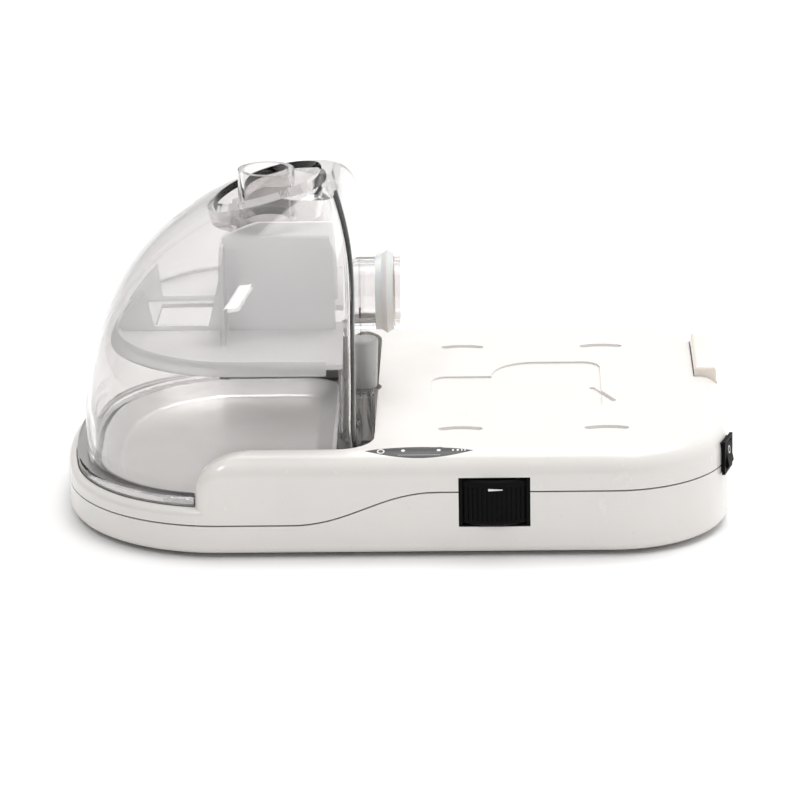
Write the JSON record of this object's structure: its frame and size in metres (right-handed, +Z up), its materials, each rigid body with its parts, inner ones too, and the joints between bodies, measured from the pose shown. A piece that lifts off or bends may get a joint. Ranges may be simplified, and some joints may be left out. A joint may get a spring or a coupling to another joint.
{
  "type": "heated humidifier",
  "caption": "Bench-top heated humidifier with a clear domed water tank, breathing ports, a docking deck, a side dial and a status window.",
  "frame": {"origin": "on the resting surface under the middle of the bounding box", "axes": "+X to the rear with the power inlet, -Y to the side with the dial and status window, +Z up"},
  "size_m": [0.2593, 0.167, 0.1305],
  "materials": {
    "housing_white": "gloss",
    "clear_plastic": "clear",
    "frosted_plastic": "satin",
    "pan_metal": "satin",
    "seal_rubber": "matte",
    "clear_rubber": "satin",
    "frame_plastic": "gloss",
    "knob_plastic": "satin",
    "stem_plastic": "clear",
    "catch_plastic": "gloss",
    "black_plastic": "satin",
    "grey_plastic": "matte",
    "smoked_lens": "gloss",
    "lens_clear": "clear",
    "plate_aluminium": "brushed",
    "foil_amber": "satin",
    "insulation": "matte",
    "spring_steel": "bright",
    "screw_steel": "zinc",
    "board_green": "satin",
    "copper_pin": "plated",
    "relay_blue": "gloss",
    "core_dark": "matte",
    "can_black": "gloss",
    "glass_tube": "clear",
    "wire_brown": "satin",
    "wire_white": "satin",
    "wire_grey": "satin"
  },
  "bodies": {
    "base": {"board_connectors": "wire_white", "board_screws": "screw_steel", "capacitors": "can_black", "catch_guide": "frame_plastic", "catch_springs": "spring_steel", "control_board": "board_green", "dial_bezel": "black_plastic", "dial_board": "board_green", "dial_wires": "wire_grey", "fuse": "glass_tube", "heater_springs": "spring_steel", "heater_wires": "wire_white", "heatsink": "plate_aluminium", "housing_screws": "screw_steel", "housing_seal": "seal_rubber", "indicator_board": "board_green", "indicator_leds": "lens_clear", "indicator_wires": "wire_grey", "inlet_pins": "copper_pin", "knob_guide": "stem_plastic", "knob_spring": "spring_steel", "light_pipes": "lens_clear", "lower_housing": "housing_white", "mains_wires": "wire_brown", "potentiometer": "grey_plastic", "power_inlet": "black_plastic", "relay": "relay_blue", "rubber_feet": "seal_rubber", "status_window": "smoked_lens", "switch_body": "black_plastic", "transformer": "core_dark", "triac": "black_plastic", "upper_housing": "housing_white"},
    "heater": {"heater_plate": "plate_aluminium", "heating_foil": "foil_amber", "insulation_disc": "insulation", "thermal_cutout": "screw_steel", "heater_carrier": "grey_plastic"},
    "dial": {"dial_wheel": "black_plastic", "dial_shaft": "grey_plastic"},
    "rocker": {"switch_rocker": "black_plastic"},
    "knob": {"release_knob": "knob_plastic", "release_stem": "stem_plastic"},
    "catch": {"appliance_catch": "catch_plastic"},
    "tank_base": {"tank_frame": "frame_plastic", "tank_pan": "pan_metal"},
    "tank_lid": {"tank_dome": "clear_plastic", "outlet_tube": "clear_plastic", "inlet_tube": "clear_plastic", "tank_gasket": "clear_rubber", "baffle_insert": "frosted_plastic", "inlet_seal": "clear_rubber"}
  },
  "joints": [
    {"name": "heater_float", "type": "slide", "parent": "base", "child": "heater", "axis": [0, 0, -1], "range_m": [0, 0.0012], "stiffness_N_per_m": 2500, "springref_m": -0.003, "deforming": ["heater_springs"]},
    {"name": "dial_turn", "type": "hinge", "parent": "base", "child": "dial", "pos_m": [0.037, -0.0585, 0.0224], "axis": [0, 0, 1], "range_deg": [-135, 135]},
    {"name": "rocker_tilt", "type": "hinge", "parent": "base", "child": "rocker", "pos_m": [0.12382, -0.04949, 0.0296], "axis": [0.2756, 0.9613, 0], "range_deg": [0, 20]},
    {"name": "release_press", "type": "slide", "parent": "base", "child": "knob", "axis": [0, 0, -1], "range_m": [0, 0.003], "stiffness_N_per_m": 350, "springref_m": -0.002, "deforming": ["knob_spring"]},
    {"name": "catch_press", "type": "slide", "parent": "base", "child": "catch", "axis": [0, 0, -1], "range_m": [0, 0.003], "stiffness_N_per_m": 500, "springref_m": -0.002, "deforming": ["catch_springs"]},
    {"name": "tank_lift", "type": "slide", "parent": "base", "child": "tank_base", "axis": [0, 0, 1], "range_m": [0, 0.06]},
    {"name": "lid_lift", "type": "slide", "parent": "tank_base", "child": "tank_lid", "axis": [0, 0, 1], "range_m": [0, 0.06]}
  ]
}
